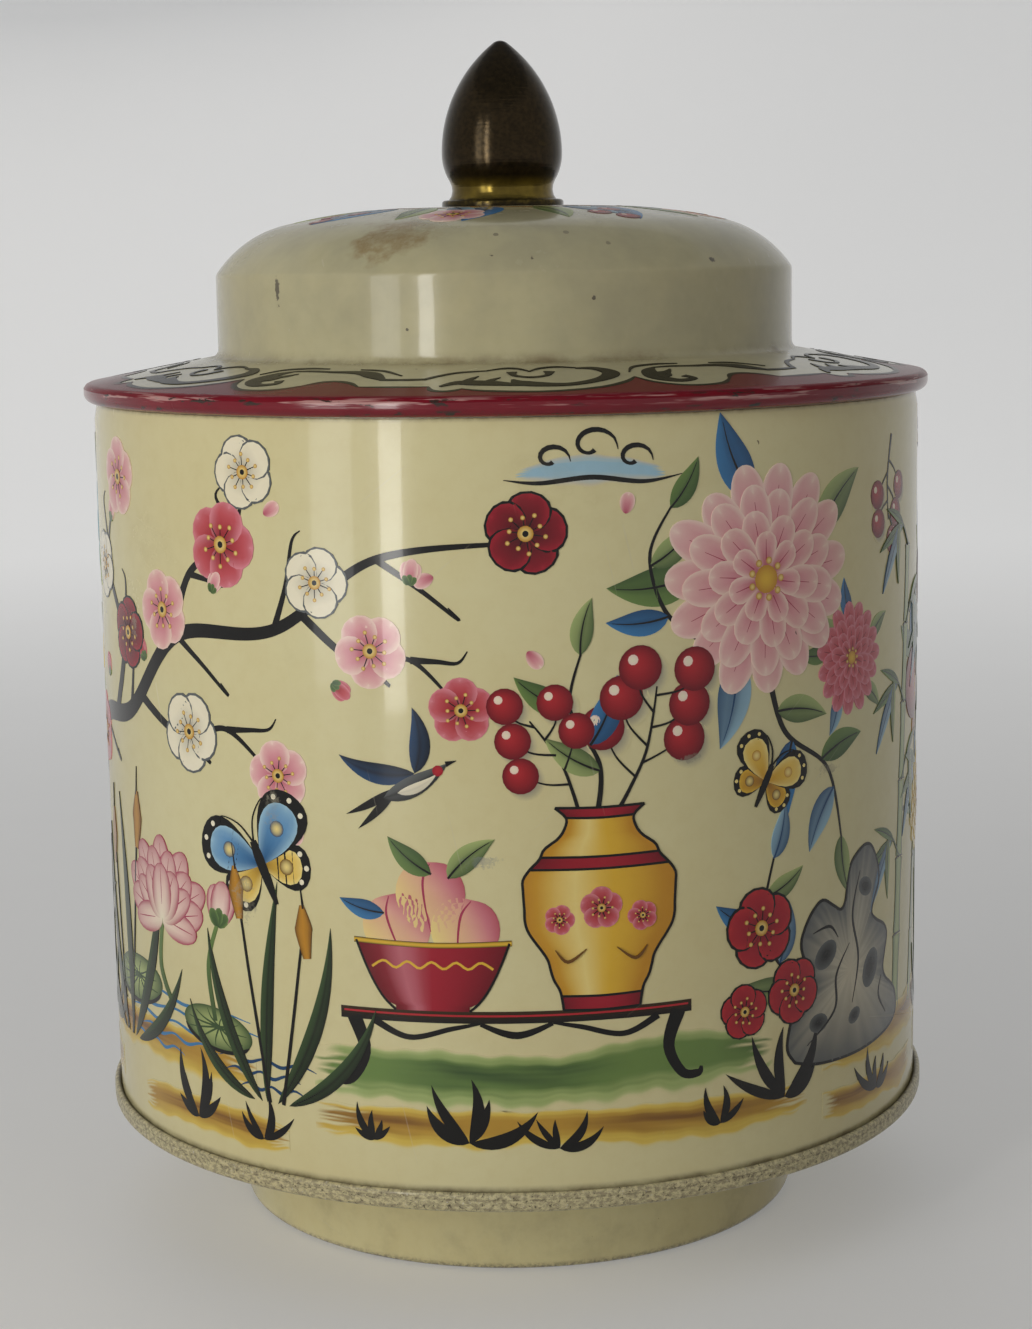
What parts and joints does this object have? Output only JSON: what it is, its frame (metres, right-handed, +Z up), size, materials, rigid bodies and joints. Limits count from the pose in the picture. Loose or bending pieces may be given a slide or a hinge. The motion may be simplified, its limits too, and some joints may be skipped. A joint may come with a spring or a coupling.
{
  "type": "tea caddy",
  "caption": "Round printed tinplate tea caddy on a narrower foot, with a domed lift-off lid, curled rim, inner plug ring and turned brass bud finial.",
  "frame": {"origin": "centre of the foot's contact ring, on the surface that the caddy stands on", "axes": "+Z up along the caddy's axis; -Y is the front that the picture shows, and the side seam faces +Y"},
  "size_m": [0.115, 0.115, 0.159],
  "materials": {
    "printed_lacquer": "cream printed lacquer on tinplate, glossy, with scuffs and small chips",
    "bare_tinplate": "unprinted tinplate, dull bright metal",
    "aged_brass": "turned brass with a dark bronze patina, rubbed bright at the neck and lip",
    "plated_steel": "plated steel hardware"
  },
  "bodies": {
    "tin": {"body_wall": "printed_lacquer", "base_pan": "printed_lacquer"},
    "lid": {"lid_shell": "printed_lacquer", "lid_plug_ring": "bare_tinplate", "finial_rosette": "aged_brass", "finial_bud": "aged_brass", "finial_washer": "plated_steel", "finial_screw": "plated_steel"}
  },
  "joints": [
    {"name": "lid_lift", "type": "slide", "parent": "tin", "child": "lid", "axis": [0, 0, 1], "range_m": [0, 0.12]}
  ]
}
